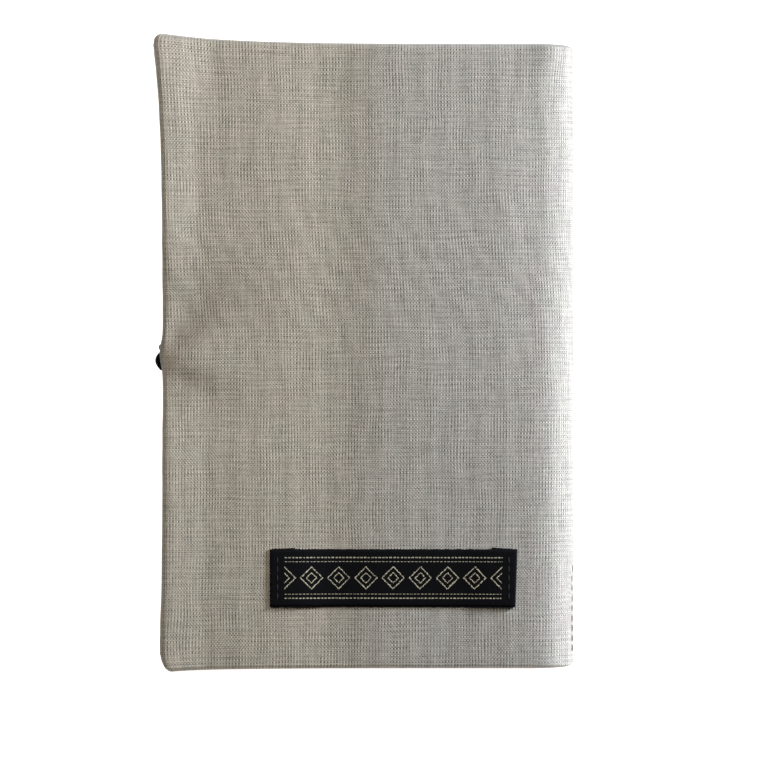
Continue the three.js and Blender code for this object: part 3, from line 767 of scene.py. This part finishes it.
def label_point(x, y, offset):
    """From the end of one turned flap, round the bend, along the face and round to the other flap."""
    left = x < half_face
    end = x if left else 2 * (flap + bend) + label_width - x
    flap_x = max(flap - end, 0)
    level = low.z + 0.05 * MM
    if end < flap:
        place, z, up = flap_x, level, -1
    elif end < flap + bend:
        turn = (end - flap) / turn_radius
        place, up = -turn_radius * math.sin(turn), -math.cos(turn)
        z = level + turn_radius * (1 - math.cos(turn))
    else:
        place, up = end - flap - bend, 1
        over_flap = 2 * turn_radius * (1 - ease((place - flap) / (9 * MM)))
        z = level + over_flap + 0.06 * MM * hill(place - 20 * MM, 12 * MM)
    skew = (0.32 * MM if left else 0.4 * MM) * flap_x / flap
    slant = 0.5 * MM * (y / label_height - 0.5) * (0 if left else 1)
    x_row = low.x + place if left else high.x - place + slant
    sag = linen_rest(x_row - spine_x, low.y + y - book_y)
    rim = 2 * abs(y / label_height - 0.5)
    outward = 1 if y > label_height / 2 else -1
    ragged = 0.14 * MM * noise.noise(Vector((x * 700, rim * 3, 2))) * rim ** 8 * outward
    return Vector((x_row, low.y + y + skew + ragged, z + up * offset - sag))


half_columns = [flap * part / 6 for part in range(6)] + [flap + bend * part / 8 for part in range(8)] + [
    flap + bend + label_width / 2 * part / 40 for part in range(41)]
label_columns = half_columns + [2 * half_face - place for place in reversed(half_columns[:-1])]
label = sewn_layer(
    "ribbon_label", label_columns, [label_height * part / 20 for part in range(21)],
    lambda x, y: label_point(x, y, ribbon / 2), lambda x, y: label_point(x, y, -ribbon / 2))
label_black, shader, tone = new_finish("label_black", roughness=0.6)
shader.inputs["Specular IOR Level"].default_value = 0.05
u, v = cloth_map(tone)
u, v = u - half_face, v - label_height / 2
rib = abs(u.sum("SINE", v * (math.pi / (0.28 * MM))))
wale = abs(u.sum("SINE", u * (math.pi / (0.22 * MM))))
fine = streaks(u, v, 2500, 400, 1)


def band(value, start, end, soft):
    """1 where a value lies between two others, with a soft edge."""
    return ((value - start) * (1 / soft)).clamped() * ((end - value) * (1 / soft)).clamped()


jitter = (streaks(u, v, 1900, 1900, 1) - 0.5) * (0.5 * MM)
step_u = u.sum("PINGPONG", u + jitter, 3.4 * MM)
diamond = step_u + abs(v)
field = band(abs(u), -1, 27.2 * MM, 0.1 * MM)
ring = band(diamond, 2.55 * MM, 2.95 * MM, 0.1 * MM) + band(diamond, 1.1 * MM, 1.45 * MM, 0.1 * MM)
rule = band(abs(v), 4.9 * MM, 5.25 * MM, 0.1 * MM) + band(abs(v), 3.95 * MM, 4.15 * MM, 0.08 * MM)
dash = (u.sum("SINE", u * (2 * math.pi / (0.9 * MM))) * 4 + 2.5).clamped()
picked = (streaks(u, v, 2600, 2200, 1) * 3.2 - 0.75).clamped()
gold = ((ring + rule * dash) * field * picked).clamped()
ribbed = (rib * 0.6 + wale * 0.4) * 0.8 + fine * 0.3
black = ribbed.mixed((0.0008, 0.0009, 0.0013, 1), (0.004, 0.0043, 0.006, 1))
thread = (ribbed * 1.1).clamped().mixed((0.24, 0.21, 0.14, 1), (0.62, 0.58, 0.44, 1))
dress(shader, gold.mixed(black, thread), ribbed * 0.7 + gold * 0.6, 0.06 * MM)
label.data.materials.append(label_black)
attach(label, "back_cover")
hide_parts("woven_label")

black_thread = thread_finish("black_thread", (0.003, 0.003, 0.004, 1), (0.012, 0.012, 0.015, 1))
end_stitches = 5
for end in ("left", "right"):
    stitch_low, stitch_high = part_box(f"label_stitches_{end}")
    row = bmesh.new()
    pitch = (stitch_high.y - stitch_low.y) / end_stitches
    for step in range(end_stitches):
        x, y = (stitch_low.x + stitch_high.x) / 2, stitch_low.y + pitch * (step + 0.12)
        start = Vector((x, y, high.z - 0.05 * MM))
        start.z -= linen_rest(start.x - spine_x, start.y - book_y)
        stitch(row, start, start + Vector((0, 0.76 * pitch, 0)), Vector((0, 0, 1)),
               width=0.35 * MM, proud=0.12 * MM)
    piece = add_object(f"label_end_stitches_{end}", row)
    piece.data.materials.append(black_thread)
    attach(piece, "back_cover")
    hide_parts(f"label_stitches_{end}")

# Button: turned from dark wood, dished, with four holes, and sewn on through the front cover with
# a wound shank behind it. It lies flush in its hollow.
low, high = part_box("button")
middle = Vector(((low.x + high.x) / 2, (low.y + high.y) / 2, low.z))
radius, thick = (high.x - low.x) / 2, high.z - low.z
drawn_radius, drawn_thick = 7.5 * MM, 1.5 * MM
profile = [(0, 0.6), (2.6, 0.6), (3.4, 0.5), (4.1, 0.18), (4.6, 0.02), (5.6, 0.0), (6.7, 0.06),
           (7.25, 0.3), (7.5, 0.75), (7.25, 1.2), (6.7, 1.45), (5, 1.5), (0, 1.5)]
disc = bmesh.new()
points = [disc.verts.new((r * MM * radius / drawn_radius, 0, z * MM * thick / drawn_thick))
          for r, z in profile]
edges = [disc.edges.new(pair) for pair in zip(points, points[1:])]
full_turn = {"cent": (0, 0, 0), "axis": (0, 0, 1), "angle": 2 * math.pi, "use_merge": True}
bmesh.ops.spin(disc, geom=points + edges, steps=64, **full_turn)
bmesh.ops.remove_doubles(disc, verts=disc.verts, dist=1e-6)
bmesh.ops.recalc_face_normals(disc, faces=disc.faces)
bmesh.ops.translate(disc, verts=disc.verts, vec=middle)
button = add_object("wooden_button", disc, smooth=True)
drill = bmesh.new()
hole_off, hole_radius = 1.1 * MM, 0.65 * MM
for x, y in ((1, 1), (1, -1), (-1, 1), (-1, -1)):
    bmesh.ops.create_cone(
        drill, cap_ends=True, segments=20, radius1=hole_radius, radius2=hole_radius, depth=6 * MM,
        matrix=Matrix.Translation(middle + Vector((x * hole_off, y * hole_off, 0))))
drill_bit = add_object("drill", drill)
bored = button.modifiers.new("holes", "BOOLEAN")
bored.operation, bored.object, bored.solver = "DIFFERENCE", drill_bit, "EXACT"
bored_mesh = bpy.data.meshes.new_from_object(button.evaluated_get(bpy.context.evaluated_depsgraph_get()))
button.modifiers.clear()
button.data = bored_mesh
bpy.data.objects.remove(drill_bit)
dark_wood, shader, tone = new_finish("dark_wood", roughness=0.42)
place = tone.node("TexCoord", out=3)
stretched = tone.node("Mapping", {}, {"Vector": place, "Scale": (300, 2600, 900)})
grain = tone.node("TexNoise", {}, {"Vector": stretched, "Scale": 1.0, "Detail": 4, "Distortion": 0.6})
rings = tone.node("TexNoise", {}, {"Vector": stretched, "Scale": 0.22, "Detail": 2})
shade = (grain * 0.7 + rings * 0.6 - 0.15).clamped()
dress(shader, shade.mixed((0.05, 0.02, 0.008, 1), (0.26, 0.12, 0.05, 1)), grain, 0.05 * MM)
button.data.materials.append(dark_wood)
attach(button, "front_cover")
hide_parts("button")

sewing = bmesh.new()
for sy in (1, -1):
    for strand in (-1, 0, 1):
        lower = 0.06 * MM if strand == 0 else 0
        start = middle + Vector((-1.35 * MM, sy * hole_off + strand * 0.27 * MM, 0.5 * MM - lower))
        stitch(sewing, start, start + Vector((2.7 * MM, 0, 0)), Vector((0, 0, -1)),
               width=0.3 * MM, proud=0.24 * MM)
shank_low, shank_high = middle.z + 1.55 * MM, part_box("button_thread")[1].z
shank_radius = 1.84
winds = 8
wind = (shank_high - shank_low) / winds
outline = []
for turn in range(winds):
    for part, bulge in ((0.05, 0.0), (0.5, 0.16), (0.95, 0.0)):
        outline.append((shank_radius + bulge, shank_low + wind * (turn + part)))
ring = [sewing.verts.new((0, 0, shank_low))]
ring += [sewing.verts.new((r * MM, 0, z)) for r, z in outline] + [sewing.verts.new((0, 0, shank_high))]
ring_edges = [sewing.edges.new(pair) for pair in zip(ring, ring[1:])]
bmesh.ops.spin(sewing, geom=ring + ring_edges, steps=24, **full_turn)
shank = [vert for vert in sewing.verts if math.hypot(vert.co.x, vert.co.y) < 2.1 * MM]
bmesh.ops.translate(sewing, verts=shank, vec=(middle.x, middle.y, 0))
bmesh.ops.remove_doubles(sewing, verts=sewing.verts, dist=1e-6)
bmesh.ops.recalc_face_normals(sewing, faces=sewing.faces)
button_sewing = add_object("button_sewing", sewing)
button_sewing.data.materials.append(dark_thread)
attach(button_sewing, "front_cover")
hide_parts("button_thread")

# Elastic loop: black braided cord, both ends caught in the fore-edge seam of the back cover. It
# goes down past the edge, under the edge of the front cover and round the shank behind the button.
cord_radius = 0.7 * MM
cord_gap = 0.2 * MM
fore_edge = spine_x + fore_run
hook_x = spine_x + button_x
cord_out = fore_edge - cord_radius - cord_gap
seam_z = cover_top - seam_depth - 0.1 * MM
cord_level = drawn_thick + cord_gap + cord_radius
edge_level = cord_radius + cord_gap
shank_room = 2 * MM
hook = shank_room + cord_gap + cord_radius


def leg_route(end, drop, tuck):
    """One leg of the loop, from its end in the seam to the side of the shank."""
    out = cord_out + tuck
    side = 1 if drop > 0 else -1
    return [Vector((x, book_y + y, z)) for x, y, z in (
        (fore_edge + 7 * MM, end, seam_z),
        (fore_edge + 3 * MM, end, seam_z),
        (out + 1.3 * MM, end, seam_z),
        (out + 0.5 * MM, end + 0.14 * (drop - end), seam_z - 0.4 * MM),
        (out + 0.08 * MM, end + 0.34 * (drop - end), seam_z - 1.3 * MM),
        (out, end + 0.58 * (drop - end), seam_z - 2.6 * MM),
        ((out + cord_out) / 2 + 0.2 * MM, end + 0.84 * (drop - end), seam_z - 4.1 * MM),
        (cord_out + 0.4 * MM, drop, seam_z - 5.5 * MM),
        (cord_out + 0.15 * MM, drop, edge_level + 4.5 * MM),
        (cord_out, drop, edge_level + 1.9 * MM),
        (cord_out + 0.4 * MM, drop, edge_level + 0.6 * MM),
        (fore_edge + 0.9 * MM, drop, edge_level + 0.25 * MM),
        (fore_edge + 3.2 * MM, (drop + side * hook) / 2, edge_level + 0.9 * MM),
        (fore_edge + 6.2 * MM, side * (hook - 0.4 * MM), cord_level),
        (hook_x - 3 * MM, side * (hook - 0.2 * MM), cord_level),
        (hook_x - 0.6 * MM, side * hook, cord_level),
        (hook_x + 0.72 * hook, side * 0.72 * hook, cord_level))]


route = leg_route(2.5 * MM, 2.1 * MM, 0.5 * MM)
route.append(Vector((hook_x + hook, book_y, cord_level)))
route += reversed(leg_route(0.45 * MM, -2.9 * MM, -0.38 * MM))


def between(before, start, end, after, share):
    """A point on a smooth curve through four points, a share of the way from the second to the third."""
    return 0.5 * (2 * start + (end - before) * share
                  + (2 * before - 5 * start + 4 * end - after) * share ** 2
                  + (3 * start - before - 3 * end + after) * share ** 3)


line = []
for step in range(len(route) - 1):
    four = [route[min(max(step + k, 0), len(route) - 1)] for k in (-1, 0, 1, 2)]
    line += [between(*four, part / 6) for part in range(6)]
line.append(route[-1])
cord = bmesh.new()
braid = cord.loops.layers.uv.new("cloth")
rings = [bmesh.ops.create_circle(cord, cap_ends=False, segments=16, radius=cord_radius)["verts"]]
edge = cord.edges[:]
for _ in line[1:]:
    made = bmesh.ops.extrude_edge_only(cord, edges=edge)["geom"]
    edge = [part for part in made if isinstance(part, bmesh.types.BMEdge)]
    rings.append([part for part in made if isinstance(part, bmesh.types.BMVert)])
up = Vector((0, 1, 0))
travel = 0.0
along_cord = {}
for index, (ring, centre) in enumerate(zip(rings, line)):
    ahead = (line[min(index + 1, len(line) - 1)] - line[max(index - 1, 0)]).normalized()
    up = (up - ahead * up.dot(ahead)).normalized()
    right = ahead.cross(up)
    travel += (centre - line[index - 1]).length if index else 0
    for vert in ring:
        angle = math.atan2(vert.co.y, vert.co.x)
        along_cord[vert] = (travel, angle / (2 * math.pi))
        vert.co = centre + cord_radius * (right * math.cos(angle) + up * math.sin(angle))
for vert, (distance, angle) in along_cord.items():
    for loop in vert.link_loops:
        wraps = angle < -0.25 and any(along_cord[other.vert][1] > 0.25 for other in loop.face.loops)
        loop[braid].uv = (distance, angle + (1 if wraps else 0))
bmesh.ops.holes_fill(cord, edges=[e for e in cord.edges if len(e.link_faces) == 1], sides=0)
bmesh.ops.recalc_face_normals(cord, faces=cord.faces)
elastic = add_object("elastic_cord", cord, smooth=True)
braid_black, shader, tone = new_finish("braid_black", roughness=0.9)
shader.inputs["Specular IOR Level"].default_value = 0.03
plait_length, plait_strands = 1.3 * MM, 6
u, v = cloth_map(tone)
u, v = u * (1 / plait_length), v * plait_strands
plait = abs(u.sum("SINE", (u + v) * math.pi)) * abs(u.sum("SINE", (u - v) * math.pi))
dress(shader, plait.mixed((0.001, 0.001, 0.0012, 1), (0.005, 0.005, 0.006, 1)), plait, 0.15 * MM)
elastic.data.materials.append(braid_black)
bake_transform(elastic)
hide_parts("elastic_loop")
